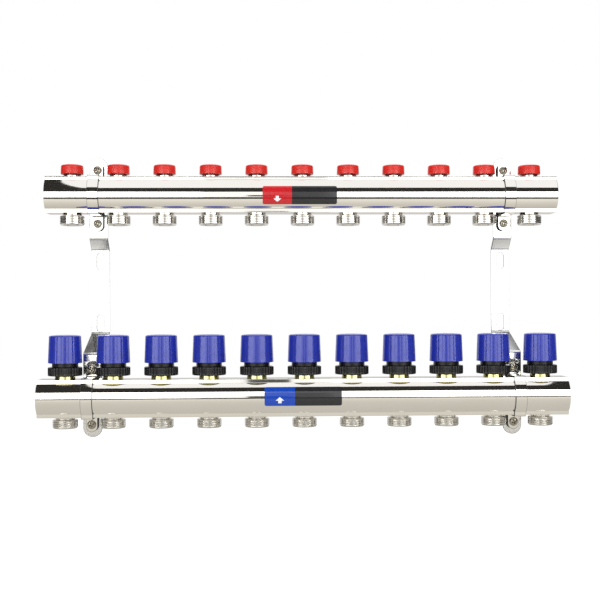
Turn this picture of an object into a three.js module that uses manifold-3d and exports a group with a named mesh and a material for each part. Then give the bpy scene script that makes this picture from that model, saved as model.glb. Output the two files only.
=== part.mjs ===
// Underfloor heating manifold with eleven circuits: a supply bar with balancing valves under
// screw-on caps, and a return bar with manual valve heads, both clamped to two wall brackets.
// Millimetres. X runs along the bars, +Z is up, the wall is the plane Y = 0 and the room is at -Y.
import * as THREE from "three";
import { mergeVertices } from "three/addons/utils/BufferGeometryUtils.js";
import Module from "manifold-3d";

// Circuits and bars
const CIRCUITS = 11;
const PITCH = 50;
const BAR_LENGTH = 554;
const BAR_RADIUS = 20.6;
const BORE_RADIUS = 15.6;
const SOCKET_RADIUS = 16.6;
const SOCKET_DEPTH = 16;
const BAR_SPACING = 216;
const SUPPLY = { y: -35, z: BAR_SPACING / 2, outletEnd: -32.5 };
const RETURN = { y: -76, z: -BAR_SPACING / 2, outletEnd: -31.2 };

// The flat lands along the top and bottom of a bar: half their width, and their distance from the axis
const LAND = { half: 13.4, z: 19.6 };

// Outlet nipples, with heights measured from the bar's axis
const OUTLET = { neck: 10.2, thread: 13.2, tip: 12.2, bore: 7, seat: 9.2 };
const SEAT_Z = -14.5;
const THREAD_TOP = -22;
const OUTLET_CHAMFER = 1;

// Balancing valve of the supply bar and its cap
const BALANCE = { plug: 7.4, spindle: 2.8, neck: 9.4, thread: 8.8 };
const PLUG_BOTTOM = -10.5;
const PLUG_TOP = -8;
const BODY_BOTTOM = 12;
const NECK_TOP = 22.4;
const BALANCE_TOP = 29.6;
const CAP = { bore: 9.9, rim: 12.2, top: 11.9, edge: 10.8 };
const CAP_BOTTOM = 22.8;
const CAP_SHOULDER = 31.4;
const CAP_TOP = 32.8;
const CAP_CEILING = 30.4;

// Shut-off insert of the return bar, its stem, ring nut and knob
const INSERT = { bore: 1.8, body: 9.2, shoulder: 10.5, thread: 14.2 };
const INSERT_BOTTOM = 9;
const INSERT_SHOULDER_TOP = 24.1;
const INSERT_TOP = 31.6;
const STEM = { disc: 8.3, rod: 1.4, head: 5 };
const TRAVEL = 3;
const DISC_BOTTOM = SEAT_Z + TRAVEL + 0.3;
const DISC_TOP = DISC_BOTTOM + 2.8;
const HEAD_BOTTOM = 45;
const HEAD_TOP = 50.6;
const NUT = { bore: 2.2, cavity: 15.1, outer: 17.7, collar: 13.5 };
const NUT_BOTTOM = 24.4;
const NUT_TOP = 32.5;
const NUT_CEILING = 32;
const COLLAR_TOP = 41.5;
const KNOB = { socket: 6, cavity: 14.3, rim: 17.6, shoulder: 16.6, edge: 15.6 };
const KNOB_BOTTOM = 36.7;
const KNOB_CAVITY_TOP = 46;
const KNOB_SOCKET_TOP = 51;
const KNOB_SHOULDER = 63.8;
const KNOB_EDGE = 65.2;
const KNOB_TOP = 66;

// Wall brackets: one bent strip each, standing off the wall behind both bars
const BRACKET_X = 225;
const STRIP_WIDTH = 20;
const STRIP_THICKNESS = 2;
const FIT_GAP = 0.3;
const STRIP_END = 43.5;
const UPPER_BEND = [62.1, 50.7];
const LOWER_BEND = [-42.2, -62.5];
const SLOT_WIDTH = 9;
const SLOT_LENGTH = 20;
const SLOT_Z = [37.7, -31.2];

// Clamp straps and their screws, with heights measured from the bar's axis
const STRAP_WIDTH = 12;
const STRAP_THICKNESS = 1.5;
const EAR_GAP = 4.5;
const EAR_END = 37.5;
const SCREW_Z = 29.5;
const SCREW = { shank: 2.4, head: 4.8, crown: 3 };
const SCREW_HOLE = 2.9;
const SCREW_HEAD_HEIGHT = 3.4;
const SCREW_PAST_STRIP = 2.6;

const SIDES = { bar: 20, outlet: 8, valve: 8, knob: 12, cap: 10, stem: 8, screw: 6, slot: 4 };

const wasm = await Module();
wasm.setup();

// A closed geometry as a solid, with shared vertices merged and collapsed faces dropped.
function solid(geometry) {
  const bare = geometry.clone();
  bare.deleteAttribute("normal");
  bare.deleteAttribute("uv");
  const merged = mergeVertices(bare, 1e-3);
  const corners = merged.index.array;
  const kept = [];
  for (let i = 0; i < corners.length; i += 3) {
    const [a, b, c] = corners.slice(i, i + 3);
    if (a !== b && b !== c && c !== a) kept.push(a, b, c);
  }
  const vertProperties = merged.attributes.position.array;
  return new wasm.Manifold(
    new wasm.Mesh({ numProp: 3, vertProperties, triVerts: new Uint32Array(kept) }),
  );
}

function geometryOf(made) {
  const mesh = made.getMesh();
  const geometry = new THREE.BufferGeometry();
  geometry.setAttribute("position", new THREE.BufferAttribute(mesh.vertProperties, 3));
  geometry.setIndex(new THREE.BufferAttribute(mesh.triVerts, 1));
  geometry.computeVertexNormals();
  return geometry;
}

// A solid turned about Z from [radius, height] points that run up the outside.
function turned(profile, sides) {
  const points = profile.map(([radius, height]) => new THREE.Vector2(radius, height));
  return solid(new THREE.LatheGeometry(points, sides).rotateX(Math.PI / 2));
}

// A rod along X of the given radius between two values of x.
function rodAlongX(radius, from, to, sides) {
  const rod = new THREE.CylinderGeometry(radius, radius, to - from, sides);
  return solid(rod.rotateZ(Math.PI / 2).translate((from + to) / 2, 0, 0));
}

// A rod along Z of the given radius between two heights.
function rodAlongZ(radius, from, to, sides) {
  const rod = new THREE.CylinderGeometry(radius, radius, to - from, sides);
  return solid(rod.rotateX(Math.PI / 2).translate(0, 0, (from + to) / 2));
}

// The middle of circuit number i, counted from 0 at the left.
function circuitX(i) {
  return (i - (CIRCUITS - 1) / 2) * PITCH;
}

// The union of one small solid repeated at every circuit.
function atEveryCircuit(piece) {
  let all = piece.translate([circuitX(0), 0, 0]);
  for (let i = 1; i < CIRCUITS; i += 1) {
    all = all.add(piece.translate([circuitX(i), 0, 0]));
  }
  return all;
}

function outletNipple(end) {
  const outside = [
    [0, end],
    [OUTLET.tip, end],
    [OUTLET.thread, end + OUTLET_CHAMFER],
    [OUTLET.thread, THREAD_TOP],
    [OUTLET.neck, THREAD_TOP + 0.3],
    [OUTLET.neck, SEAT_Z],
    [0, SEAT_Z],
  ];
  return turned(outside, SIDES.outlet);
}

// The balancing valve's body, spindle and plug, above its seat.
function balancingValve() {
  const outside = [
    [0, PLUG_BOTTOM],
    [BALANCE.plug, PLUG_BOTTOM],
    [BALANCE.plug, PLUG_TOP],
    [BALANCE.spindle, PLUG_TOP],
    [BALANCE.spindle, BODY_BOTTOM],
    [BALANCE.neck, BODY_BOTTOM],
    [BALANCE.neck, NECK_TOP],
    [BALANCE.thread, NECK_TOP],
    [BALANCE.thread, BALANCE_TOP],
    [0, BALANCE_TOP],
  ];
  return turned(outside, SIDES.valve);
}

// The shut-off insert: a guide inside the bar, a round shoulder and the thread for the ring nut.
function shutOffInsert() {
  const outside = [
    [0, INSERT_BOTTOM],
    [INSERT.body, INSERT_BOTTOM],
    [INSERT.body, LAND.z - 0.5],
    [INSERT.shoulder, LAND.z - 0.5],
    [INSERT.shoulder, INSERT_SHOULDER_TOP],
    [INSERT.thread, INSERT_SHOULDER_TOP],
    [INSERT.thread, INSERT_TOP],
    [0, INSERT_TOP],
  ];
  return turned(outside, SIDES.valve);
}

// The outside of a bar: a rod with a flat land along its top and one along its bottom.
function barOutside() {
  const rod = rodAlongX(BAR_RADIUS, -BAR_LENGTH / 2, BAR_LENGTH / 2, SIDES.bar);
  const level = new THREE.BoxGeometry(BAR_LENGTH + 2, 4 * BAR_RADIUS, 2 * LAND.z);
  const lands = new THREE.BoxGeometry(BAR_LENGTH, 2 * LAND.half, 2 * LAND.z);
  return rod.intersect(solid(level)).add(solid(lands));
}

// A bar with its eleven nipples and valve bodies, about its own axis.
function bar(axis, valve) {
  const half = BAR_LENGTH / 2;
  const bore = rodAlongX(BORE_RADIUS, -half - 1, half + 1, SIDES.bar);
  const socket = rodAlongX(SOCKET_RADIUS, half - SOCKET_DEPTH, half + 1, SIDES.bar);
  const otherSocket = socket.translate([SOCKET_DEPTH - BAR_LENGTH - 1, 0, 0]);
  const seat = rodAlongZ(OUTLET.seat, SEAT_Z, 0, SIDES.outlet);
  const passage = rodAlongZ(OUTLET.bore, axis.outletEnd - 1, 0, SIDES.outlet);
  return barOutside()
    .subtract(bore.add(socket).add(otherSocket))
    .add(atEveryCircuit(outletNipple(axis.outletEnd)))
    .subtract(atEveryCircuit(seat.add(passage)))
    .add(atEveryCircuit(valve));
}

function supplyBar() {
  return bar(SUPPLY, balancingValve());
}

function returnBar() {
  const pin = rodAlongZ(INSERT.bore, INSERT_BOTTOM - 1, INSERT_TOP + 1, SIDES.stem);
  return bar(RETURN, shutOffInsert()).subtract(atEveryCircuit(pin));
}

function capSolid() {
  const profile = [
    [0, CAP_CEILING],
    [CAP.bore, CAP_CEILING],
    [CAP.bore, CAP_BOTTOM],
    [CAP.rim, CAP_BOTTOM],
    [CAP.top, CAP_SHOULDER],
    [CAP.edge, CAP_TOP],
    [0, CAP_TOP],
  ];
  return turned(profile, SIDES.cap);
}

function knobSolid() {
  const profile = [
    [0, KNOB_SOCKET_TOP],
    [KNOB.socket, KNOB_SOCKET_TOP],
    [KNOB.socket, KNOB_CAVITY_TOP],
    [KNOB.cavity, KNOB_CAVITY_TOP],
    [KNOB.cavity, KNOB_BOTTOM],
    [KNOB.rim, KNOB_BOTTOM],
    [KNOB.shoulder, KNOB_SHOULDER],
    [KNOB.edge, KNOB_EDGE],
    [0, KNOB_TOP],
  ];
  return turned(profile, SIDES.knob);
}

// The ring nut that holds the head on its insert, with the collar that guides the knob.
function headBaseSolid() {
  const profile = [
    [NUT.bore, COLLAR_TOP],
    [NUT.bore, NUT_CEILING],
    [NUT.cavity, NUT_CEILING],
    [NUT.cavity, NUT_BOTTOM],
    [NUT.outer, NUT_BOTTOM],
    [NUT.outer, NUT_TOP],
    [NUT.collar, NUT_TOP],
    [NUT.collar, COLLAR_TOP],
    [NUT.bore, COLLAR_TOP],
  ];
  return turned(profile, SIDES.knob);
}

// The pusher under the knob, its rod and the sealing disc over the outlet's seat.
function stemSolid() {
  const profile = [
    [0, DISC_BOTTOM],
    [STEM.disc, DISC_BOTTOM],
    [STEM.disc, DISC_TOP],
    [STEM.rod, DISC_TOP],
    [STEM.rod, HEAD_BOTTOM],
    [STEM.head, HEAD_BOTTOM],
    [STEM.head, HEAD_TOP],
    [0, HEAD_TOP],
  ];
  return turned(profile, SIDES.stem);
}

// The point where two lines meet, both shifted to the right of the path by the thickness.
function shiftedCorner(before, corner, after, thickness) {
  const right = (from, to) => {
    const along = to.clone().sub(from).normalize();
    return new THREE.Vector2(along.y, -along.x);
  };
  const first = right(before, corner);
  const second = right(corner, after);
  const mitre = first.clone().add(second);
  return corner.clone().addScaledVector(mitre, (2 * thickness) / mitre.lengthSq());
}

// A strip bent along [y, z] points, as thick as given to the right of them, centred on x = 0.
function bentStrip(path, thickness, width) {
  const near = path.map(([y, z]) => new THREE.Vector2(y, z));
  const last = near.length - 1;
  const before = near[0].clone().multiplyScalar(2).sub(near[1]);
  const after = near[last].clone().multiplyScalar(2).sub(near[last - 1]);
  const extended = [before, ...near, after];
  const far = near.map((_, i) =>
    shiftedCorner(extended[i], extended[i + 1], extended[i + 2], thickness),
  );
  const outline = new THREE.Shape([...near, ...far.reverse()]);
  const strip = new THREE.ExtrudeGeometry(outline, { depth: width, bevelEnabled: false });
  const toX = new THREE.Matrix4().makeBasis(
    new THREE.Vector3(0, 1, 0),
    new THREE.Vector3(0, 0, 1),
    new THREE.Vector3(1, 0, 0),
  );
  return solid(strip.applyMatrix4(toX).translate(-width / 2, 0, 0));
}

// A slot-shaped prism through the whole depth of the part, upright between two heights.
function uprightSlot(width, bottom, top) {
  const radius = width / 2;
  const outline = new THREE.Shape();
  outline.absarc(0, top - radius, radius, 0, Math.PI, false);
  outline.absarc(0, bottom + radius, radius, Math.PI, 2 * Math.PI, false);
  const depth = 300;
  const prism = new THREE.ExtrudeGeometry(outline, {
    depth,
    bevelEnabled: false,
    curveSegments: SIDES.slot,
  });
  return solid(prism.rotateX(Math.PI / 2).translate(0, depth / 2, 0));
}

// A screw hole along Y through the whole depth of the part.
function screwHole(z) {
  const hole = new THREE.CylinderGeometry(SCREW_HOLE, SCREW_HOLE, 300, SIDES.screw);
  return solid(hole.translate(0, 0, z));
}

// The front face of the strip behind a bar.
function stripFront(axis) {
  return axis.y + BAR_RADIUS + FIT_GAP;
}

function bracketSolid() {
  const front = [
    [stripFront(RETURN), RETURN.z - STRIP_END],
    [stripFront(RETURN), LOWER_BEND[1]],
    [-STRIP_THICKNESS, LOWER_BEND[0]],
    [-STRIP_THICKNESS, UPPER_BEND[1]],
    [stripFront(SUPPLY), UPPER_BEND[0]],
    [stripFront(SUPPLY), SUPPLY.z + STRIP_END],
  ];
  const ends = uprightSlot(STRIP_WIDTH, RETURN.z - STRIP_END, SUPPLY.z + STRIP_END);
  let bracket = bentStrip(front, STRIP_THICKNESS, STRIP_WIDTH).intersect(ends);
  for (const z of SLOT_Z) {
    const [bottom, top] = [z - SLOT_LENGTH / 2, z + SLOT_LENGTH / 2];
    bracket = bracket.subtract(uprightSlot(SLOT_WIDTH, bottom, top));
  }
  for (const axis of [SUPPLY, RETURN]) {
    bracket = bracket.subtract(screwHole(axis.z + SCREW_Z));
    bracket = bracket.subtract(screwHole(axis.z - SCREW_Z));
  }
  return bracket;
}

// A saddle strap about the bar's axis: it follows the bar's front and its lands, and ends in two ears.
function strapSolid() {
  const radius = BAR_RADIUS + FIT_GAP;
  const half = LAND.half + FIT_GAP;
  const level = LAND.z + FIT_GAP;
  const earBack = radius - EAR_GAP;
  const reach = Math.acos(half / radius);
  const steps = 8;
  const path = [[earBack, -EAR_END], [earBack, -level], [-half, -level]];
  for (let i = 0; i <= steps; i += 1) {
    const turn = reach * ((2 * i) / steps - 1);
    path.push([-radius * Math.cos(turn), radius * Math.sin(turn)]);
  }
  path.push([-half, level], [earBack, level], [earBack, EAR_END]);
  const backwards = path.reverse();
  return bentStrip(backwards, STRAP_THICKNESS, STRAP_WIDTH)
    .intersect(uprightSlot(STRAP_WIDTH, -EAR_END, EAR_END))
    .subtract(screwHole(SCREW_Z))
    .subtract(screwHole(-SCREW_Z));
}

// A pan-head screw about its own axis, with the head's underside at height 0.
function screwSolid() {
  const strapToStrip = STRAP_THICKNESS + EAR_GAP + STRIP_THICKNESS;
  const length = FIT_GAP + strapToStrip + SCREW_PAST_STRIP;
  const profile = [
    [0, -length],
    [SCREW.shank, -length],
    [SCREW.shank, 0],
    [SCREW.head, 0],
    [SCREW.head, SCREW_HEAD_HEIGHT / 2],
    [SCREW.crown, SCREW_HEAD_HEIGHT],
    [0, SCREW_HEAD_HEIGHT],
  ];
  return turned(profile, SIDES.screw);
}

const MATERIALS = {
  nickel: { color: 0xd9d8d4, roughness: 0.12, metalness: 1 },
  zinc: { color: 0xd2d3d2, roughness: 0.3, metalness: 1 },
  brass: { color: 0xc8a552, roughness: 0.3, metalness: 1 },
  red: { color: 0xd9261f, roughness: 0.45, metalness: 0 },
  blue: { color: 0x1c2a9a, roughness: 0.35, metalness: 0 },
  black: { color: 0x161616, roughness: 0.5, metalness: 0 },
};

const manifold = new THREE.Group();

function place(parent, name, geometry, material, x = 0) {
  const mesh = new THREE.Mesh(geometry, new THREE.MeshStandardMaterial(MATERIALS[material]));
  mesh.name = name;
  mesh.position.x = x;
  parent.add(mesh);
  return mesh;
}

// A group on a bar's axis, holding the bar and everything that sits on it.
function onAxis(axis) {
  const group = new THREE.Group();
  group.position.set(0, axis.y, axis.z);
  manifold.add(group);
  return group;
}

const supply = onAxis(SUPPLY);
const returning = onAxis(RETURN);
place(supply, "supply_bar", geometryOf(supplyBar()), "nickel");
place(returning, "return_bar", geometryOf(returnBar()), "nickel");

const capGeometry = geometryOf(capSolid());
const stemGeometry = geometryOf(stemSolid());
const headBaseGeometry = geometryOf(headBaseSolid());
const knobGeometry = geometryOf(knobSolid());
for (let i = 0; i < CIRCUITS; i += 1) {
  const number = String(i + 1).padStart(2, "0");
  const x = circuitX(i);
  place(supply, "red_cap_" + number, capGeometry, "red", x);
  place(returning, "valve_stem_" + number, stemGeometry, "brass", x);
  place(returning, "head_base_" + number, headBaseGeometry, "black", x);
  place(returning, "blue_knob_" + number, knobGeometry, "blue", x);
}

const bracketGeometry = geometryOf(bracketSolid());
const strapGeometry = geometryOf(strapSolid());
const screwGeometry = geometryOf(screwSolid().rotate([90, 0, 0]));
const screwY = BAR_RADIUS - EAR_GAP - STRAP_THICKNESS;
for (const [side, x] of [["left", -BRACKET_X], ["right", BRACKET_X]]) {
  place(manifold, side + "_bracket", bracketGeometry, "zinc", x);
  for (const [barName, group] of [["supply", supply], ["return", returning]]) {
    const prefix = barName + "_" + side;
    place(group, prefix + "_strap", strapGeometry, "nickel", x);
    for (const [end, z] of [["upper", SCREW_Z], ["lower", -SCREW_Z]]) {
      const screw = place(group, prefix + "_" + end + "_screw", screwGeometry, "zinc", x);
      screw.position.set(x, screwY, z);
    }
  }
}

export default manifold;
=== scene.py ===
"""Looks of an underfloor heating manifold: two nickel bars on two wall brackets, with balancing valves
under red caps on the supply bar and valve heads with blue knobs on the return bar.
Shapes are given in millimetres, from the CAD dimensions, and made in metres in the part's own frame."""
import math

import bmesh
import bpy
from mathutils import Matrix, Vector


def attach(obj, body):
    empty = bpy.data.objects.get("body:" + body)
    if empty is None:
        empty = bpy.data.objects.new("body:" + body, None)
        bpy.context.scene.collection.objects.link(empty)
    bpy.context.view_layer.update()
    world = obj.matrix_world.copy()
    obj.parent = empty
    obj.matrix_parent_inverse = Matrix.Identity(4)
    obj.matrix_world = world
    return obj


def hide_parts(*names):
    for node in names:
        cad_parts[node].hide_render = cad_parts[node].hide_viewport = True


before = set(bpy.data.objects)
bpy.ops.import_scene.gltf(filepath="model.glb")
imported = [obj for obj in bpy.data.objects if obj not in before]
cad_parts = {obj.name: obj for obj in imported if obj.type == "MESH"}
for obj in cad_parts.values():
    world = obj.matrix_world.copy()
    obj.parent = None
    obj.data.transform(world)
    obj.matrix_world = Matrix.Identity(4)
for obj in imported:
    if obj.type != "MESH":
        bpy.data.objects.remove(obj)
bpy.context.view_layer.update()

MM = 0.001

# The part's dimensions, as in its CAD model
CIRCUITS = 11
PITCH = 50
HALF_BAR = 277
BAR_RADIUS = 20.6
BORE_RADIUS = 15.6
SOCKET_RADIUS = 16.6
SOCKET_DEPTH = 16
LAND_HALF = 13.4
LAND_Z = 19.6
LAND_LEAN = 0.18
OUTLET_END = {"supply": -32.5, "return": -31.2}
AXES = {"supply": (-35.0, 108.0), "return": (-76.0, -108.0)}
BRACKET_X = 225
STRIP_WIDTH = 20
STRIP_THICKNESS = 2
FIT_GAP = 0.3
STRIP_END = 43.5
UPPER_BEND = (62.1, 50.7)
LOWER_BEND = (-42.2, -62.5)
SLOT_WIDTH = 9
SLOT_LENGTH = 20
SLOT_Z = (37.7, -31.2)
STRAP_WIDTH = 12
STRAP_THICKNESS = 1.5
EAR_GAP = 4.5
EAR_END = 37.5
SCREW_Z = 29.5
STRIP_HOLE_RADIUS = 2.6
STRAP_HOLE_RADIUS = 2.9


def circuit_x(i):
    """The place of circuit i along the bars, counted from 0 at the left."""
    return (i - (CIRCUITS - 1) / 2) * PITCH


# ---------------------------------------------------------------- mesh tools


def added(name, data):
    """A new object in the scene that holds the mesh, curve, light or camera data."""
    thing = bpy.data.objects.new(name, data)
    bpy.context.scene.collection.objects.link(thing)
    return thing


def mesh_from(name, points, faces, crease=32):
    """A smooth-shaded mesh from points in mm, with edges sharper than crease degrees kept sharp."""
    mesh = bpy.data.meshes.new(name)
    mesh.from_pydata([Vector(p) * MM for p in points], [], faces)
    bm = bmesh.new()
    bm.from_mesh(mesh)
    bmesh.ops.remove_doubles(bm, verts=bm.verts, dist=1e-6)
    bmesh.ops.dissolve_degenerate(bm, edges=bm.edges, dist=1e-7)
    bmesh.ops.recalc_face_normals(bm, faces=bm.faces)
    bm.to_mesh(mesh)
    bm.free()
    return shaded(mesh, crease)


def changed(mesh, kind, **settings):
    """The mesh with one modifier applied."""
    thing = added("changing", mesh)
    modifier = thing.modifiers.new("change", kind)
    for name, value in settings.items():
        setattr(modifier, name, value)
    dg = bpy.context.evaluated_depsgraph_get()
    made = bpy.data.meshes.new_from_object(thing.evaluated_get(dg), depsgraph=dg)
    bpy.data.objects.remove(thing)
    made.name = mesh.name
    bpy.data.meshes.remove(mesh)
    return made


def shaded(mesh, crease):
    """Smooth shading in which large faces stay flat, and edges sharper than crease degrees stay sharp."""
    mesh.polygons.foreach_set("use_smooth", [True] * len(mesh.polygons))
    mesh.set_sharp_from_angle(angle=math.radians(crease))
    return changed(mesh, "WEIGHTED_NORMAL", keep_sharp=True)


def rounded(corners, steps=3):
    """Rows of (radius, height) through corners of (radius, height) or (radius, height, rounding)."""
    rows = []
    for i, corner in enumerate(corners):
        at = Vector(corner[:2])
        if len(corner) < 3 or i in (0, len(corners) - 1):
            rows.append(tuple(at))
            continue
        before = (Vector(corners[i - 1][:2]) - at).normalized() * corner[2]
        after = (Vector(corners[i + 1][:2]) - at).normalized() * corner[2]
        for k in range(steps + 1):
            t = k / steps
            rows.append(tuple(at + before * (1 - t) ** 2 + after * t**2))
    return rows


def thread(radius, start, end, depth, pitch):
    """Rows of a helical thread between two heights. A negative depth makes ridges that point inwards."""
    count = max(2, round(abs(end - start) / pitch * 14))

    def relief(angle, height):
        root = max(0.0, math.cos(math.tau * height / pitch - angle)) ** 2
        fade = min(1.0, (abs(height - start) + 0.15) / pitch, (abs(height - end) + 0.15) / pitch)
        return -depth * root * fade

    return [(radius, start + (end - start) * k / count, relief) for k in range(count + 1)]


def ribbed(rows, count, depth, low, high, sharp=1.0):
    """The same rows with upright grooves cut round them, fading out at the two heights."""

    def relief(angle, height):
        wave = (0.5 - 0.5 * math.cos(count * angle)) ** sharp
        fade = min(1.0, max(0.0, min(height - low, high - height) / 0.6))
        return -depth * wave * fade

    return [(row[0], row[1], relief) for row in rows]


def dense(rows, step):
    """The same rows with more of them between any two that are further apart than step."""
    out = [rows[0]]
    for row in rows[1:]:
        last = Vector(out[-1][:2])
        far = (Vector(row[:2]) - last).length
        for k in range(1, math.ceil(far / step)):
            out.append(tuple(last.lerp(Vector(row[:2]), k / math.ceil(far / step))))
        out.append(row)
    return out


def turned(name, rows, sides, crease=32):
    """A closed mesh turned about Z from rows of (radius, height) or (radius, height, relief)."""
    ring = rows[0] == rows[-1]
    rows = rows[:-1] if ring else rows
    points, rings = [], []
    for row in rows:
        radius, height = row[:2]
        if radius < 1e-6:
            rings.append([len(points)] * sides)
            points.append((0, 0, height))
            continue
        rings.append(range(len(points), len(points) + sides))
        for k in range(sides):
            angle = math.tau * k / sides
            r = radius + (row[2](angle, height) if len(row) > 2 else 0)
            points.append((r * math.cos(angle), r * math.sin(angle), height))
    faces = []
    pairs = list(zip(rings, rings[1:])) + ([(rings[-1], rings[0])] if ring else [])
    for low, high in pairs:
        for k in range(sides):
            n = (k + 1) % sides
            corners = [low[k], low[n], high[n], high[k]]
            kept = [c for j, c in enumerate(corners) if c != corners[j - 1]]
            if len(kept) > 2:
                faces.append(kept)
    return mesh_from(name, points, faces, crease)


def without(mesh, tool, crease=32):
    """mesh with the solid tool cut out of it."""
    cutter = added("cutter", tool)
    made = changed(mesh, "BOOLEAN", object=cutter, operation="DIFFERENCE", solver="EXACT")
    bpy.data.objects.remove(cutter)
    bpy.data.meshes.remove(tool)
    return shaded(made, crease)


def joined(name, meshes_at):
    """One mesh of several (mesh, matrix) pairs."""
    bm = bmesh.new()
    for mesh, matrix in meshes_at:
        copy = mesh.copy()
        copy.transform(matrix)
        bm.from_mesh(copy)
        bpy.data.meshes.remove(copy)
    made = bpy.data.meshes.new(name)
    bm.to_mesh(made)
    bm.free()
    return made


def arc(cx, cy, radius, start, end, steps):
    """Points on a circle, from one angle in degrees to another."""
    turn = [math.radians(start + (end - start) * k / steps) for k in range(steps + 1)]
    return [(cx + radius * math.cos(a), cy + radius * math.sin(a)) for a in turn]


def slot_outline(middle, length, width):
    """A slot shape along the strip, with round ends."""
    reach = (length - width) / 2
    ends = arc(middle + reach, 0, width / 2, -90, 90, 20)
    return ends + arc(middle - reach, 0, width / 2, 90, 270, 20)


def screw_hole(middle, radius):
    """A round hole along the strip, without a repeated last point."""
    sides = 48
    return arc(middle, 0, radius, 0, 360 * (sides - 1) / sides, sides - 1)


def sheet_metal(name, outline, holes, thickness, route):
    """A strip cut from sheet along s, with holes, then bent along route, a list of (s, y, z, ny, nz).
    Materials: the front, the cut edges and the back."""
    curve = bpy.data.curves.new(name, "CURVE")
    curve.dimensions = "2D"
    curve.fill_mode = "BOTH"
    soft = 0.36
    curve.extrude = (thickness / 2 - soft) * MM
    curve.bevel_depth = soft * MM
    curve.bevel_resolution = 2
    curve.offset = -soft * MM
    for loop in [outline, *holes]:
        spline = curve.splines.new("POLY")
        spline.points.add(len(loop) - 1)
        spline.use_cyclic_u = True
        for point, (s, x) in zip(spline.points, loop):
            point.co = (s * MM, x * MM, 0, 1)
    thing = added(name, curve)
    dg = bpy.context.evaluated_depsgraph_get()
    mesh = bpy.data.meshes.new_from_object(thing.evaluated_get(dg), depsgraph=dg)
    bpy.data.objects.remove(thing)
    bpy.data.curves.remove(curve)
    bm = bmesh.new()
    bm.from_mesh(mesh)
    bmesh.ops.remove_doubles(bm, verts=bm.verts, dist=1e-6)
    for face in bm.faces:
        level = face.calc_center_median().z / MM
        face.material_index = 1 if abs(level) < thickness / 2 - 0.01 else 0 if level < 0 else 2
    for s, *_ in route[1:-1]:
        every = bm.verts[:] + bm.edges[:] + bm.faces[:]
        bmesh.ops.bisect_plane(bm, geom=every, plane_co=(s * MM, 0, 0), plane_no=(1, 0, 0), dist=1e-7)
    for vert in bm.verts:
        s = vert.co.x / MM
        k = next((i for i, r in enumerate(route[1:-1], 1) if r[0] >= s), len(route) - 1)
        (s0, *a), (s1, *b) = route[k - 1], route[k]
        t = (s - s0) / (s1 - s0)
        y, z, ny, nz = (p + (q - p) * t for p, q in zip(a, b))
        vert.co = Vector((vert.co.y, y * MM + vert.co.z * ny, z * MM + vert.co.z * nz))
    bmesh.ops.remove_doubles(bm, verts=bm.verts, dist=1e-6)
    flat = {"angle_limit": math.radians(0.3), "verts": bm.verts, "edges": bm.edges}
    bmesh.ops.dissolve_limit(bm, use_dissolve_boundaries=False, delimit={"MATERIAL"}, **flat)
    bmesh.ops.recalc_face_normals(bm, faces=bm.faces)
    bm.to_mesh(mesh)
    bm.free()
    return shaded(mesh, 50)


def bent_route(corners, radii, steps=8):
    """The middle line through (y, z) corners with rounded bends, as (s, y, z, ny, nz) rows."""
    path = [Vector(corners[0])]
    for i in range(1, len(corners) - 1):
        at = Vector(corners[i])
        back = (Vector(corners[i - 1]) - at).normalized()
        on = (Vector(corners[i + 1]) - at).normalized()
        half = back.angle(on) / 2
        reach = radii[i - 1] / math.tan(half)
        centre = at + (back + on).normalized() * (radii[i - 1] / math.sin(half))
        first, last = at + back * reach - centre, at + on * reach - centre
        turn = first.angle_signed(last)
        for k in range(steps + 1):
            part = turn * k / steps
            path.append(centre + Matrix.Rotation(-part, 2) @ first)
    path.append(Vector(corners[-1]))
    rows, s = [], 0.0
    for i, at in enumerate(path):
        if i:
            s += (at - path[i - 1]).length
        along = path[min(i + 1, len(path) - 1)] - path[max(i - 1, 0)]
        along.normalize()
        rows.append((s, at.x, at.y, along.y, -along.x))
    return rows


# ---------------------------------------------------------------- materials


def shader_tree(name):
    """A new material, its node tree and its shader."""
    material = bpy.data.materials.new(name)
    material.use_nodes = True
    tree = material.node_tree
    return material, tree, tree.nodes["Principled BSDF"]


def noise(tree, scale, detail=3.0, stretch=(1, 1, 1)):
    """Noise over the object's own coordinates."""
    coordinates = tree.nodes.new("ShaderNodeTexCoord")
    mapping = tree.nodes.new("ShaderNodeMapping")
    mapping.inputs["Scale"].default_value = stretch
    texture = tree.nodes.new("ShaderNodeTexNoise")
    texture.inputs["Scale"].default_value = scale
    texture.inputs["Detail"].default_value = detail
    tree.links.new(coordinates.outputs["Object"], mapping.inputs["Vector"])
    tree.links.new(mapping.outputs["Vector"], texture.inputs["Vector"])
    return texture.outputs["Fac"]


def ranged(tree, value, low, high, start=0.3, stop=0.7):
    """value taken from start..stop to low..high."""
    node = tree.nodes.new("ShaderNodeMapRange")
    node.inputs["From Min"].default_value = start
    node.inputs["From Max"].default_value = stop
    node.inputs["To Min"].default_value = low
    node.inputs["To Max"].default_value = high
    tree.links.new(value, node.inputs["Value"])
    return node.outputs["Result"]


def blended(tree, value, first, second):
    """A colour between two, as value goes from 0 to 1."""
    node = tree.nodes.new("ShaderNodeMix")
    node.data_type = "RGBA"
    node.inputs["A"].default_value = (*first, 1)
    node.inputs["B"].default_value = (*second, 1)
    tree.links.new(value, node.inputs["Factor"])
    return node.outputs["Result"]


def bumped(tree, shader, heights):
    """Chains bump nodes, one for each (height, distance in mm)."""
    normal = None
    for value, distance in heights:
        node = tree.nodes.new("ShaderNodeBump")
        node.inputs["Strength"].default_value = 1.0
        node.inputs["Distance"].default_value = distance * MM
        tree.links.new(value, node.inputs["Height"])
        if normal:
            tree.links.new(normal, node.inputs["Normal"])
        normal = node.outputs["Normal"]
    tree.links.new(normal, shader.inputs["Normal"])


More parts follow.
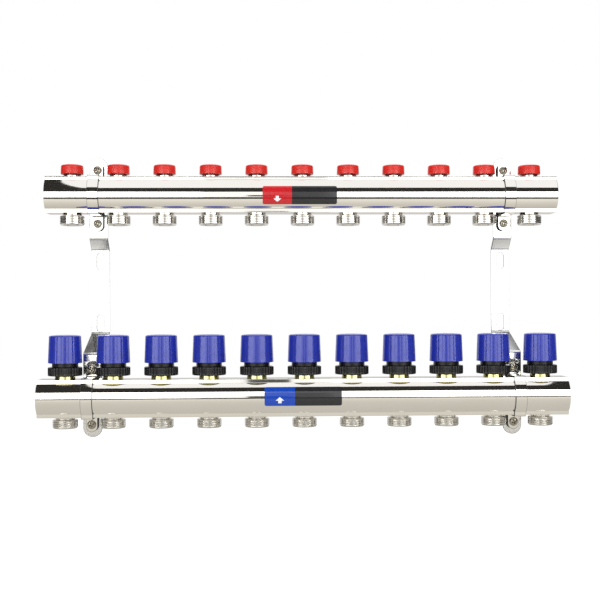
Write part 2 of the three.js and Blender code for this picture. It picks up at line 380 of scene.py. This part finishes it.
def metal(name, light, dark, smooth, rough, grain, waves, stretch=(1, 1, 1)):
    """A metal whose colour and roughness vary from place to place, with grain and shallow waves in mm."""
    material, tree, shader = shader_tree(name)
    shader.inputs["Metallic"].default_value = 1.0
    cloud = noise(tree, 55, 4, stretch)
    fine = noise(tree, 900, 2, stretch)
    tree.links.new(blended(tree, ranged(tree, cloud, 0, 1), light, dark), shader.inputs["Base Color"])
    tree.links.new(ranged(tree, cloud, smooth, rough), shader.inputs["Roughness"])
    bumped(tree, shader, [(cloud, waves), (fine, grain)])
    return material


def dull(name, light, dark, smooth, rough, grain, specular=0.5):
    """A plastic, print, or the dark grey of cut edges and gaps that carries painted shade, whose colour and
    roughness vary from place to place.
    """
    material, tree, shader = shader_tree(name)
    shader.inputs["Specular IOR Level"].default_value = specular
    cloud = noise(tree, 140, 4)
    fine = noise(tree, 2600, 2)
    tree.links.new(blended(tree, ranged(tree, cloud, 0, 1), light, dark), shader.inputs["Base Color"])
    tree.links.new(ranged(tree, cloud, smooth, rough), shader.inputs["Roughness"])
    bumped(tree, shader, [(fine, grain)])
    return material


BRUSHED = (0.25, 1, 1)
NICKEL = metal("nickel", (0.935, 0.912, 0.872), (0.90, 0.872, 0.825), 0.035, 0.07, 0.0003, 0.014, BRUSHED)
TURNED_NICKEL = metal("turned_nickel", (0.67, 0.65, 0.61), (0.60, 0.58, 0.545), 0.09, 0.12, 0.0004, 0.0006)
ZINC = metal("bright_zinc", (0.90, 0.905, 0.91), (0.82, 0.82, 0.815), 0.10, 0.2, 0.0012, 0.02, (1, 1, 0.12))
SCREW_ZINC = metal("screw_zinc", (0.56, 0.53, 0.45), (0.36, 0.34, 0.28), 0.16, 0.3, 0.002, 0.01)
BRASS = metal("brass", (0.43, 0.405, 0.19), (0.38, 0.355, 0.16), 0.12, 0.16, 0.0005, 0.0008)
RED = dull("red_plastic", (0.64, 0.024, 0.015), (0.59, 0.018, 0.012), 0.19, 0.24, 0.001)
BLUE = dull("blue_plastic", (0.014, 0.028, 0.34), (0.011, 0.022, 0.28), 0.17, 0.24, 0.0012)
BLACK = dull("black_plastic", (0.007, 0.007, 0.008), (0.005, 0.005, 0.006), 0.22, 0.30, 0.002, 0.30)
# Dark dull grey for the sheet's cut edges, darker than bare steel: painted shade for the dark lines along the
# edges. On the straps it also covers the back faces: painted shade in the gap behind the ears.
EDGE_AND_GAP_SHADE = dull("edge_and_gap_shade", (0.075, 0.073, 0.070), (0.055, 0.054, 0.051), 0.45, 0.6, 0.002, 0.2)
LABEL_BLACK = dull("label_black", (0.022, 0.022, 0.024), (0.017, 0.017, 0.019), 0.07, 0.11, 0.0004)
LABEL_RED = dull("label_red", (0.56, 0.016, 0.022), (0.51, 0.013, 0.019), 0.07, 0.11, 0.0004)
LABEL_BLUE = dull("label_blue", (0.010, 0.060, 0.42), (0.008, 0.050, 0.38), 0.07, 0.11, 0.0004)
LABEL_WHITE = dull("label_white", (0.85, 0.86, 0.87), (0.80, 0.81, 0.82), 0.10, 0.14, 0.0004)

# ---------------------------------------------------------------- placing


def piece(name, mesh, at, body, materials, nodes=()):
    """Puts a mesh at a point in mm, on a body, in place of the CAD nodes it stands for."""
    thing = added(name, mesh)
    thing.location = Vector(at) * MM
    if not mesh.materials:
        for material in materials:
            mesh.materials.append(material)
    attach(thing, body)
    if nodes:
        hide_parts(*nodes)


# ---------------------------------------------------------------- bars


def bar_section():
    """The outline of a bar across X, as (y, z): round in front and behind, flat along the top and bottom."""
    foot = math.sqrt(BAR_RADIUS**2 - LAND_HALF**2)
    reach = math.degrees(math.atan2(foot, LAND_HALF))
    corners = [(0, LAND_Z), (LAND_LEAN - LAND_HALF, LAND_Z, 0.5), (-LAND_HALF, foot, 0.3)]
    corners += arc(0, 0, BAR_RADIUS, 180 - reach, 180 + reach, 66)[1:-1]
    corners += [(-LAND_HALF, -foot, 0.3), (LAND_LEAN - LAND_HALF, -LAND_Z, 0.5), (0, -LAND_Z)]
    front = rounded(corners)
    return front + [(-y, z) for y, z in reversed(front[1:-1])]


def bar_mesh(name, hole_above):
    """A bar along X with a threaded socket at each end, and holes for the valves and nipples."""
    end = HALF_BAR
    section = bar_section()
    stations = [(0.6, 0.0), (0.18, 0.18), (0.0, 0.6)]
    rings = [(x - end, inset) for inset, x in stations]
    rings += [(end - x, inset) for inset, x in reversed(stations)]
    points = [(x, y * (1 - inset / 20), z * (1 - inset / 20)) for x, inset in rings for y, z in section]
    count, last = len(section), (len(rings) - 1) * len(section)
    faces = [list(range(count)), list(range(last, last + count))]
    for j in range(len(rings) - 1):
        for k in range(count):
            n = (k + 1) % count
            faces.append((j * count + k, j * count + n, (j + 1) * count + n, (j + 1) * count + k))
    outside = mesh_from(name, points, faces, 30)
    deep = end - SOCKET_DEPTH

    def socket(way):
        rows = [(0, way * (end + 1)), (18.6, way * (end + 1)), (17.6, way * end)]
        rows += [(SOCKET_RADIUS, way * (end - 1.2))]
        rows += thread(SOCKET_RADIUS, way * (end - 1.6), way * (deep + 2.4), SOCKET_RADIUS - BORE_RADIUS, 2.3)
        return rows + [(SOCKET_RADIUS, way * deep), (BORE_RADIUS, way * deep)]

    inside = turned("bore", socket(1) + socket(-1)[::-1], 144)
    inside.transform(Matrix.Rotation(math.pi / 2, 4, "Y"))
    tube = without(outside, inside, 30)
    below = turned("nipple_hole", [(0, -30), (9.7, -30), (9.7, 0), (0, 0)], 48)
    above = turned("valve_hole", [(0, 0), (hole_above, 0), (hole_above, 30), (0, 30)], 48)
    tools = []
    for i in range(CIRCUITS):
        shift = Matrix.Translation((circuit_x(i) * MM, 0, 0))
        tools += [(below, shift), (above, shift)]
    return without(tube, joined("holes", tools), 30)


def nipple_mesh(end):
    """A pipe nipple: neck, outside thread, a coned mouth for the pipe fitting, and the seat on top."""
    outside = rounded([(10.2, -14.5), (10.2, -21.7, 0.4), (12.6, -22.2, 0.4), (12.9, -22.8)])
    outside += thread(13.2, -23.0, end + 1.5, 0.5, 1.814)
    mouth = [(12.5, end + 0.9), (12.2, end, 0.3), (9.3, end, 0.2), (7.4, end + 6, 0.5), (7, end + 7)]
    inside = rounded(mouth)
    top = rounded([(7, -17), (7, -15.2, 0.3), (7.5, -14.5, 0.3), (10.2, -14.5)])
    return turned("nipple", outside + inside + top, 72)


def balancing_valve_mesh():
    """Plug, spindle and screwed-in body of a balancing valve, with a hexagon socket in its top."""

    def hexagon(angle, height):
        part = (angle % (math.pi / 3)) - math.pi / 6
        return 2.4 / math.cos(part) - 2.4

    rows = rounded([(0, -10.5), (7.4, -10.5, 0.5), (7.4, -8, 0.5), (2.8, -8), (2.8, 12), (9.0, 12, 0.4)])
    rows += rounded([(9.4, 13), (9.4, 21.2, 0.3), (9.0, 21.6, 0.2), (9.0, 22.2, 0.2), (8.8, 22.6)])
    rows += thread(8.8, 22.9, 28.5, 0.7, 1.34)
    rows += rounded([(8.3, 28.9), (7.9, 29.6, 0.3), (5.0, 29.6, 0.3), (4.7, 26.3, 0.3), (3.6, 26.3)])
    rows += rounded([(3.6, 26.3), (3.6, 28.7, 0.4), (2.9, 28.7)])
    rows += [(2.4, 28.6, hexagon), (2.4, 25.9, hexagon), (0, 25.3)]
    return turned("balancing_valve", rows, 72)


def insert_mesh():
    """The brass shut-off insert of the return bar: guide, round shoulder and the thread of the ring nut."""
    rows = rounded([(1.8, 9), (9.2, 9, 0.4), (9.2, 19.1), (10.7, 19.3, 0.2), (10.2, 24.1)])
    rows += rounded([(16.4, 24.1, 0.3), (16.4, 24.8, 0.3), (14.2, 25.0)]) + thread(14.2, 25.3, 30.8, 0.8, 1.5)
    rows += rounded([(13.8, 31.1), (13.4, 31.6, 0.3), (1.8, 31.6), (1.8, 9)])
    return turned("insert", rows, 72)


# ---------------------------------------------------------------- valve tops


def cap_mesh():
    """A hollow screw-on cap: knurled skirt that widens a little downwards, rounded top edge."""
    skirt = rounded([(10.6, 22.8), (11.8, 22.8, 0.3), (12.17, 23.3, 0.2), (12.2, 23.9)])
    sides = [(12.2, 23.9), (12.1, 27.0), (11.92, 31.0)]
    skirt += ribbed(dense(sides, 0.8), 60, 0.035, 23.6, 31.2)
    crown = rounded([(11.88, 31.3), (11.6, 32.5, 0.9), (10.2, 32.8, 0.3), (9.4, 32.35, 0.3), (0, 32.4)])
    inside = rounded([(0, 30.4), (9.3, 30.4, 0.4), (9.3, 29.8)])
    inside += thread(9.9, 29.2, 24.4, 0.55, 1.34)
    inside += rounded([(9.9, 24.0), (9.9, 23.3), (10.6, 22.8)])
    return turned("cap", skirt + crown + inside, 360)


def head_base_mesh():
    """Ring nut with ribs for the grip, and the round collar above it that guides the knob."""
    rows = rounded([(2.2, 41.5), (2.2, 32), (15.1, 32, 0.3), (15.1, 25.4), (16.7, 25.2), (16.8, 23.6)])
    grip = rounded([(17.4, 23.6), (17.7, 24.0, 0.2), (17.7, 31.6, 0.4), (17.2, 32.2)])
    rows += ribbed(dense(grip, 0.9), 36, 0.5, 24.0, 32.1, 0.8)
    rows += rounded([(16.6, 32.4), (13.9, 32.5, 0.4), (13.5, 33.0, 0.3), (13.5, 41.5, 0.5), (2.2, 41.5)])
    return turned("head_base", rows, 288)


def stem_mesh():
    """The sealing disc, the rod through the insert and the pusher under the knob."""
    rows = rounded([(0, -11.2), (6.8, -11.2, 0.3), (8.3, -10.6, 0.4), (8.3, -8.6, 0.4), (3.0, -8.4, 0.3)])
    rows += rounded([(1.4, -7.0, 0.3), (1.4, 45), (5, 45, 0.4), (5, 50.6, 0.6), (0, 50.6)])
    return turned("stem", rows, 40)


def knob_mesh():
    """A tapered grip with a rounded shoulder and a domed top, hollow below."""
    outside = rounded([(15.6, 36.7), (17.6, 36.7, 0.45), (16.45, 64.9, 1.3), (14.2, 65.4), (12.8, 65.5)], 7)
    outside = outside[:1] + ribbed(dense(outside[1:-1], 1.5), 18, 0.16, 36.9, 65.45, 4) + outside[-1:]
    groove = [(12.8, 65.5), (12.3, 65.55, 0.15), (12.1, 65.25, 0.15)]
    groove += [(11.7, 65.3, 0.15), (11.5, 65.62, 0.15)]
    top = rounded(groove)
    dome = [(r, 66 - 0.38 * (r / 11.2) ** 2) for r in (11.0, 9, 7, 5, 3, 1.5)] + [(0, 66)]
    inside = rounded([(0, 51), (6, 51, 0.4), (6, 46, 0.4), (14.3, 46, 0.6), (14.3, 37.2, 0.3), (15.6, 36.7)])
    return turned("knob", outside + top + dome + inside, 240)


# ---------------------------------------------------------------- brackets, straps, screws


def bracket_mesh():
    """The bent strip that carries both bars, from the bottom end to the top end."""
    half = STRIP_THICKNESS / 2
    supply_y = AXES["supply"][0] + BAR_RADIUS + FIT_GAP + half
    return_y = AXES["return"][0] + BAR_RADIUS + FIT_GAP + half
    wall_y = -half
    low, high = AXES["return"][1] - STRIP_END, AXES["supply"][1] + STRIP_END
    corners = [
        (return_y, low),
        (return_y, LOWER_BEND[1] - 0.6),
        (wall_y, LOWER_BEND[0] - 0.6),
        (wall_y, UPPER_BEND[1] + 0.4),
        (supply_y, UPPER_BEND[0] + 0.4),
        (supply_y, high),
    ]
    route = bent_route(corners, [3.8, 3.8, 3.8, 3.8])
    length = route[-1][0]

    def s_at(z):
        """The length along the strip at a height, on its flat stretches."""
        k = next(i for i, row in enumerate(route) if row[2] >= z)
        (s0, _, z0, *_), (s1, _, z1, *_) = route[k - 1], route[k]
        return s0 + (s1 - s0) * (z - z0) / (z1 - z0)

    round_end = STRIP_WIDTH / 2
    outline = arc(length - round_end, 0, round_end, -90, 90, 28) + arc(round_end, 0, round_end, 90, 270, 28)
    holes = [slot_outline(s_at(z), SLOT_LENGTH, SLOT_WIDTH) for z in SLOT_Z]
    for _, axis_z in AXES.values():
        for z in (axis_z - SCREW_Z, axis_z + SCREW_Z):
            holes.append(screw_hole(s_at(z), STRIP_HOLE_RADIUS))
    return sheet_metal("bracket", outline, holes, STRIP_THICKNESS, route)


def strap_mesh():
    """The saddle strap of a bar, about the bar's axis: it follows the bar's front between two ears."""
    half = STRAP_THICKNESS / 2
    ring = BAR_RADIUS + FIT_GAP + half
    side, level = LAND_HALF + FIT_GAP + half, LAND_Z + FIT_GAP + half
    ear_y = BAR_RADIUS + FIT_GAP - EAR_GAP - half
    foot = math.acos(side / ring)
    first = foot - 0.07
    corners = [(ear_y, -EAR_END), (ear_y, -level), (LAND_LEAN - side, -level), (-side, -ring * math.sin(foot))]
    lower = bent_route(corners + [(-ring * math.cos(first), -ring * math.sin(first))], [1.8, 1.5, 1.2])
    steps = 36
    hoop = []
    for k in range(1, steps):
        turn = first * (2 * k / steps - 1)
        y, z = -math.cos(turn), math.sin(turn)
        hoop.append((lower[-1][0] + ring * (turn + first), ring * y, ring * z, -y, -z))
    length = 2 * (lower[-1][0] + ring * first)
    route = lower + hoop + [(length - s, y, -z, ny, -nz) for s, y, z, ny, nz in reversed(lower)]
    round_end = STRAP_WIDTH / 2
    outline = arc(length - round_end, 0, round_end, -90, 90, 20) + arc(round_end, 0, round_end, 90, 270, 20)
    ears = (EAR_END - SCREW_Z, length - EAR_END + SCREW_Z)
    holes = [screw_hole(s, STRAP_HOLE_RADIUS) for s in ears]
    return sheet_metal("strap", outline, holes, STRAP_THICKNESS, route)


def screw_mesh():
    """A pan-head screw with a cross recess, lying along Y with its head towards the room."""
    rows = rounded([(0, -10.9), (1.7, -10.9, 0.3), (2.1, -10.4)]) + thread(2.4, -10.2, -0.6, 0.34, 0.8)
    head = [(2.4, -0.3), (2.4, 0.0), (4.8, 0.0, 0.25), (4.8, 1.2, 0.6)]
    head += [(3.9, 2.75, 0.7), (1.8, 3.35, 0.6), (0, 3.4)]
    rows += rounded(head, 4)
    body = turned("screw", rows, 40)
    blade = [(-0.45, -0.35), (0.45, -0.35), (0.45, 0.35), (-0.45, 0.35)]
    arms = []
    for turn in (0, math.pi / 2):
        points = [(x * 2.2, y * 1.3, 0.9) for x, y in blade] + [(x * 7.2, y * 2.3, 3.8) for x, y in blade]
        faces = [(3, 2, 1, 0), (4, 5, 6, 7)] + [(i, (i + 1) % 4, (i + 1) % 4 + 4, i + 4) for i in range(4)]
        arms.append((mesh_from("arm", points, faces), Matrix.Rotation(turn + 0.35, 4, "Z")))
    for arm in arms:
        body = without(body, joined("recess", [arm]))
    body.transform(Matrix.Rotation(math.pi / 2, 4, "X"))
    return body


# ---------------------------------------------------------------- labels


def curved(name, rows, radius, thickness):
    """A thin sheet on the front of a bar from rows of (arc position, [x, ...]), in mm."""
    points = []
    for inner in (radius + thickness, radius - 0.05):
        for s, xs in rows:
            angle = s / radius
            points += [(x, -inner * math.cos(angle), inner * math.sin(angle)) for x in xs]
    wide, tall = len(rows[0][1]), len(rows)
    back = wide * tall
    faces = []
    for j in range(tall - 1):
        for i in range(wide - 1):
            a = j * wide + i
            faces.append((a, a + 1, a + 1 + wide, a + wide))
            faces.append((a + back, a + wide + back, a + 1 + wide + back, a + 1 + back))
    rim = [(j * wide, (j + 1) * wide) for j in range(tall - 1)]
    rim += [(j * wide + wide - 1, (j + 1) * wide + wide - 1) for j in range(tall - 1)]
    rim += [(i, i + 1) for i in range(wide - 1)]
    rim += [((tall - 1) * wide + i, (tall - 1) * wide + i + 1) for i in range(wide - 1)]
    faces += [(a, b, b + back, a + back) for a, b in rim]
    return mesh_from(name, points, faces, 40)


LABEL = {"left": -43.4, "split": -11.9, "right": 36.6, "half_height": 10.1, "corner": 2.0}


def label_rows():
    """Rows across a label with round corners, as (arc position, [x, ...])."""
    half, corner = LABEL["half_height"], LABEL["corner"]
    heights = [-half + corner * (1 - math.cos(math.radians(9 * k))) for k in range(11)]
    middle = [(-half + corner) + (2 * half - 2 * corner) * k / 14 for k in range(1, 14)]
    heights = heights + middle + [-h for h in reversed(heights)]
    rows = []
    for s in heights:
        over = max(0.0, abs(s) - (half - corner))
        inset = corner - math.sqrt(max(0.0, corner**2 - over**2))
        left, right = LABEL["left"] + inset, LABEL["right"] - inset
        flat = [LABEL["left"] + 3, -30, -20, LABEL["split"], 0, 12, 24, LABEL["right"] - 3]
        rows.append((s, [left, *flat, right]))
    return rows


def label_mesh(name, colour, lift):
    """A label on a bar, lift mm up its front: the coloured field at the left, the black one at the right."""
    mesh = curved(name, [(s + lift, xs) for s, xs in label_rows()], BAR_RADIUS, 0.12)
    mesh.materials.append(colour)
    mesh.materials.append(LABEL_BLACK)
    for face in mesh.polygons:
        face.material_index = int(face.center.x > LABEL["split"] * MM)
    return mesh


def arrow_mesh(name, up, lift):
    """A white arrow on the coloured field, pointing up or down."""
    middle, top = -27.6, lift - 0.7
    profile = [(0, 1.7), (1.4, 1.7), (2.8, 1.7), (2.81, 4.4), (4.0, 3.0), (5.2, 1.6), (6.4, 0.2), (6.5, 0.05)]
    rows = []
    for s, half in profile:
        at = top - s if not up else top - 6.5 + s
        rows.append((at, [middle - half, middle, middle + half]))
    return curved(name, rows, BAR_RADIUS + 0.12, 0.05)


# ---------------------------------------------------------------- the part

cap, knob, stem = cap_mesh(), knob_mesh(), stem_mesh()
balancing_valve, insert, head_base = balancing_valve_mesh(), insert_mesh(), head_base_mesh()
strap, screw, bracket = strap_mesh(), screw_mesh(), bracket_mesh()

for bar, (y, z) in AXES.items():
    tube = bar_mesh(bar + "_tube", 9.0 if bar == "supply" else 8.8)
    nipple = nipple_mesh(OUTLET_END[bar])
    piece(bar + "_tube", tube, (0, y, z), "root", [NICKEL], [bar + "_bar"])
    for i in range(CIRCUITS):
        number = f"{i + 1:02d}"
        at = (circuit_x(i), y, z)
        piece(f"{bar}_nipple_{number}", nipple, at, "root", [TURNED_NICKEL])
        if bar == "supply":
            piece(f"balancing_valve_{number}", balancing_valve, at, "root", [TURNED_NICKEL])
            name = f"cap_{number}"
            piece(name, cap, at, name, [RED], ["red_" + name])
        else:
            piece(f"insert_{number}", insert, at, "root", [BRASS])
            name = f"head_base_{number}"
            piece("ring_nut_" + number, head_base, at, "root", [BLACK], [name])
            name = f"stem_{number}"
            piece(name, stem, at, name, [BRASS], ["valve_" + name])
            name = f"knob_{number}"
            piece(name, knob, at, name, [BLUE], ["blue_" + name])
    colour, shift, lift = (LABEL_RED, 0, -1.7) if bar == "supply" else (LABEL_BLUE, 1.4, 2.1)
    at = (shift, y, z)
    piece(bar + "_label", label_mesh(bar + "_label", colour, lift), at, "root", [])
    arrow = arrow_mesh(bar + "_arrow", bar == "return", lift)
    piece(bar + "_arrow", arrow, at, "root", [LABEL_WHITE])

for side, x in (("left", -BRACKET_X), ("right", BRACKET_X)):
    name = side + "_bracket"
    piece("bent_" + name, bracket, (x, 0, 0), "root", [ZINC, EDGE_AND_GAP_SHADE, ZINC], [name])
    for bar, (y, z) in AXES.items():
        name = f"{bar}_{side}_strap"
        # The strap's back faces take the dark edge material, as painted shade in the gap between the ears and
        # the bracket.
        piece("bent_" + name, strap, (x, y, z), "root", [NICKEL, EDGE_AND_GAP_SHADE, EDGE_AND_GAP_SHADE], [name])
        for end, dz in (("upper", SCREW_Z), ("lower", -SCREW_Z)):
            name = f"{bar}_{side}_{end}_screw"
            front = y + BAR_RADIUS + FIT_GAP - EAR_GAP - STRAP_THICKNESS
            at = (x, front, z + dz)
            piece("pan_head_" + name, screw, at, "root", [SCREW_ZINC], [name])

# ---------------------------------------------------------------- studio


def card(name, corners, radiance):
    """A four-cornered card in metres that only reflections see. radiance is a colour, or a function that
    builds one from the card's object coordinates."""
    mesh = bpy.data.meshes.new(name)
    mesh.from_pydata(corners, [], [(0, 1, 2, 3)])
    thing = added(name, mesh)
    material = bpy.data.materials.new(name)
    material.use_nodes = True
    tree = material.node_tree
    tree.nodes.clear()
    glow = tree.nodes.new("ShaderNodeEmission")
    out = tree.nodes.new("ShaderNodeOutputMaterial")
    tree.links.new(glow.outputs["Emission"], out.inputs["Surface"])
    if callable(radiance):
        tree.links.new(radiance(tree), glow.inputs["Color"])
    else:
        glow.inputs["Color"].default_value = (*radiance, 1)
    mesh.materials.append(material)
    thing.visible_camera = False
    thing.visible_diffuse = False
    thing.visible_shadow = False
    thing.visible_transmission = False


def coordinate(tree, axis):
    """One of the object's own coordinates."""
    where = tree.nodes.new("ShaderNodeTexCoord")
    split = tree.nodes.new("ShaderNodeSeparateXYZ")
    tree.links.new(where.outputs["Object"], split.inputs["Vector"])
    return split.outputs[axis]


def room_glow(tree):
    """Bright to both sides of the camera, less so behind it."""
    away = tree.nodes.new("ShaderNodeMath")
    away.operation = "ABSOLUTE"
    tree.links.new(coordinate(tree, "X"), away.inputs[0])
    return blended(tree, ranged(tree, away.outputs[0], 0, 1, 0.3, 0.85), (2.3, 2.3, 2.25), (4.6, 4.6, 4.5))


def table_glow(tree):
    """A warm table top that darkens towards the wall."""
    back = ranged(tree, coordinate(tree, "Y"), 0, 1, -0.46, -0.02)
    return blended(tree, back, (0.86, 0.83, 0.75), (0.52, 0.50, 0.45))


def wall(x0, x1, y, z0, z1):
    """The corners of an upright card across the view."""
    return [(x0, y, z0), (x1, y, z0), (x1, y, z1), (x0, y, z1)]


def level(x0, x1, y0, y1, z):
    """The corners of a level card."""
    return [(x0, y0, z), (x1, y0, z), (x1, y1, z), (x0, y1, z)]


DARK = (0.028, 0.026, 0.024)
DIM = (0.12, 0.115, 0.11)
card("room_light", wall(-3.2, 3.2, -1.45, -0.9, 0.85), room_glow)
card("camera_shade", wall(-0.18, 0.10, -1.16, -0.9, 0.45), (1.15, 1.15, 1.13))
card("camera_body", wall(-0.08, 0.01, -1.15, -0.12, 0.06), (0.10, 0.10, 0.095))
card("front_top", wall(-3.5, 3.5, -0.445, 0.226, 0.9), DARK)
card("front_bottom", wall(-3.5, 3.5, -0.834, -0.4, -0.106), DARK)
card("front_left", wall(-3.5, -0.71, -0.45, -0.4, 0.9), DIM)
card("front_right", wall(0.64, 3.5, -0.45, -0.4, 0.9), DIM)
overhead = [(-0.306, -0.35, 0.372), (0.396, -0.325, 0.372), (0.38, 0.4, 0.372), (-0.312, 0.4, 0.372)]
card("overhead", overhead, (1.0, 1.0, 1.0))
card("far_wall", wall(-2, 2, 0.7, -0.05, 0.045), (0.62, 0.61, 0.59))
card("table_front", level(-1.2, 1.2, -0.588, -0.005, -0.16), table_glow)
card("table_back", level(-1.2, 1.2, -0.005, 0.7, -0.16), (0.98, 0.98, 0.97))

world = bpy.data.worlds.new("studio")
bpy.context.scene.world = world
world.use_nodes = True
tree = world.node_tree
tree.nodes.clear()


def backdrop():
    """White all round for the camera and soft light, and for reflections white only behind the part."""
    path = tree.nodes.new("ShaderNodeLightPath")
    where = tree.nodes.new("ShaderNodeTexCoord")
    split = tree.nodes.new("ShaderNodeSeparateXYZ")
    tree.links.new(where.outputs["Generated"], split.inputs["Vector"])
    behind = ranged(tree, split.outputs["Y"], 0, 1, 0.70, 0.80)
    reflected = blended(tree, behind, DARK, (1.0, 1.0, 1.0))
    soft = blended(tree, path.outputs["Is Diffuse Ray"], (1.0, 1.0, 1.0), (0.80, 0.80, 0.81))
    both = tree.nodes.new("ShaderNodeMix")
    both.data_type = "RGBA"
    tree.links.new(path.outputs["Is Glossy Ray"], both.inputs["Factor"])
    tree.links.new(soft, both.inputs["A"])
    tree.links.new(reflected, both.inputs["B"])
    background = tree.nodes.new("ShaderNodeBackground")
    out = tree.nodes.new("ShaderNodeOutputWorld")
    tree.links.new(both.outputs["Result"], background.inputs["Color"])
    tree.links.new(background.outputs["Background"], out.inputs["Surface"])


backdrop()


def soft_light(name, at, target, width, height, power):
    """A rectangular light that neither the camera nor reflections see."""
    data = bpy.data.lights.new(name, "AREA")
    data.shape = "RECTANGLE"
    data.size = width
    data.size_y = height
    data.energy = power
    thing = added(name, data)
    thing.location = at
    thing.rotation_euler = (Vector(target) - Vector(at)).to_track_quat("-Z", "Y").to_euler()
    thing.visible_camera = False
    thing.visible_glossy = False


soft_light("overhead_light", (0, -0.3, 1.3), (0, -0.05, 0), 1.6, 1.0, 9)
soft_light("left_light", (-1.2, -1.2, 0.5), (0, -0.05, 0), 0.9, 0.9, 5)
soft_light("right_light", (1.2, -1.2, 0.5), (0, -0.05, 0), 0.9, 0.9, 5)


FLOOR_Z = -0.6


def floor():
    """A pale round floor well below the wall-hung part, white from its rim outwards."""
    mesh = bpy.data.meshes.new("floor")
    sides, rings = 64, [0.0, 0.3, 0.6, 0.9, 1.3, 2.5, 6.0]
    points, faces = [(0, 0, 0)], []
    for r in rings[1:]:
        angles = [math.tau * k / sides for k in range(sides)]
        points += [(r * math.cos(angle), r * math.sin(angle), 0) for angle in angles]
    for k in range(sides):
        faces.append((0, 1 + k, 1 + (k + 1) % sides))
        for j in range(len(rings) - 2):
            a, b = 1 + j * sides, 1 + (j + 1) * sides
            faces.append((a + k, b + k, b + (k + 1) % sides, a + (k + 1) % sides))
    mesh.from_pydata(points, [], faces)
    thing = added("floor", mesh)
    thing.location = (0, 0, FLOOR_Z)
    material, nodes, shader = shader_tree("floor")
    cloud = noise(nodes, 6, 3)
    colour = blended(nodes, cloud, (0.80, 0.80, 0.79), (0.84, 0.84, 0.83))
    nodes.links.new(colour, shader.inputs["Base Color"])
    shader.inputs["Roughness"].default_value = 0.7
    where = nodes.nodes.new("ShaderNodeTexCoord")
    length = nodes.nodes.new("ShaderNodeVectorMath")
    length.operation = "LENGTH"
    nodes.links.new(where.outputs["Object"], length.inputs[0])
    outwards = ranged(nodes, length.outputs["Value"], 0, 1, 0.35, 0.85)
    glow = nodes.nodes.new("ShaderNodeEmission")
    glow.inputs["Strength"].default_value = 1.1
    mix = nodes.nodes.new("ShaderNodeMixShader")
    out = next(n for n in nodes.nodes if n.type == "OUTPUT_MATERIAL")
    nodes.links.new(outwards, mix.inputs["Fac"])
    nodes.links.new(shader.outputs["BSDF"], mix.inputs[1])
    nodes.links.new(glow.outputs["Emission"], mix.inputs[2])
    nodes.links.new(mix.outputs["Shader"], out.inputs["Surface"])
    mesh.materials.append(material)
    thing.visible_glossy = False


floor()

# ---------------------------------------------------------------- camera

SENSOR = 36.0
FOCAL_SHARE = 1.687508
CAMERA_AT = (-0.03999, -1.14118, -0.01238)
YAW, TILT, ROLL = -0.03343, 0.00556, -0.0038

camera_data = bpy.data.cameras.new("camera")
camera_data.sensor_width = SENSOR
camera_data.lens = SENSOR * FOCAL_SHARE
camera_data.clip_end = 20
camera = added("camera", camera_data)
turn = Matrix.Rotation(YAW, 4, "Z") @ Matrix.Rotation(math.pi / 2 + TILT, 4, "X")
turn = turn @ Matrix.Rotation(ROLL, 4, "Z")
camera.matrix_world = Matrix.Translation(CAMERA_AT) @ turn
bpy.context.scene.camera = camera
bpy.context.scene.view_settings.view_transform = "Standard"
bpy.context.scene.view_settings.look = "None"
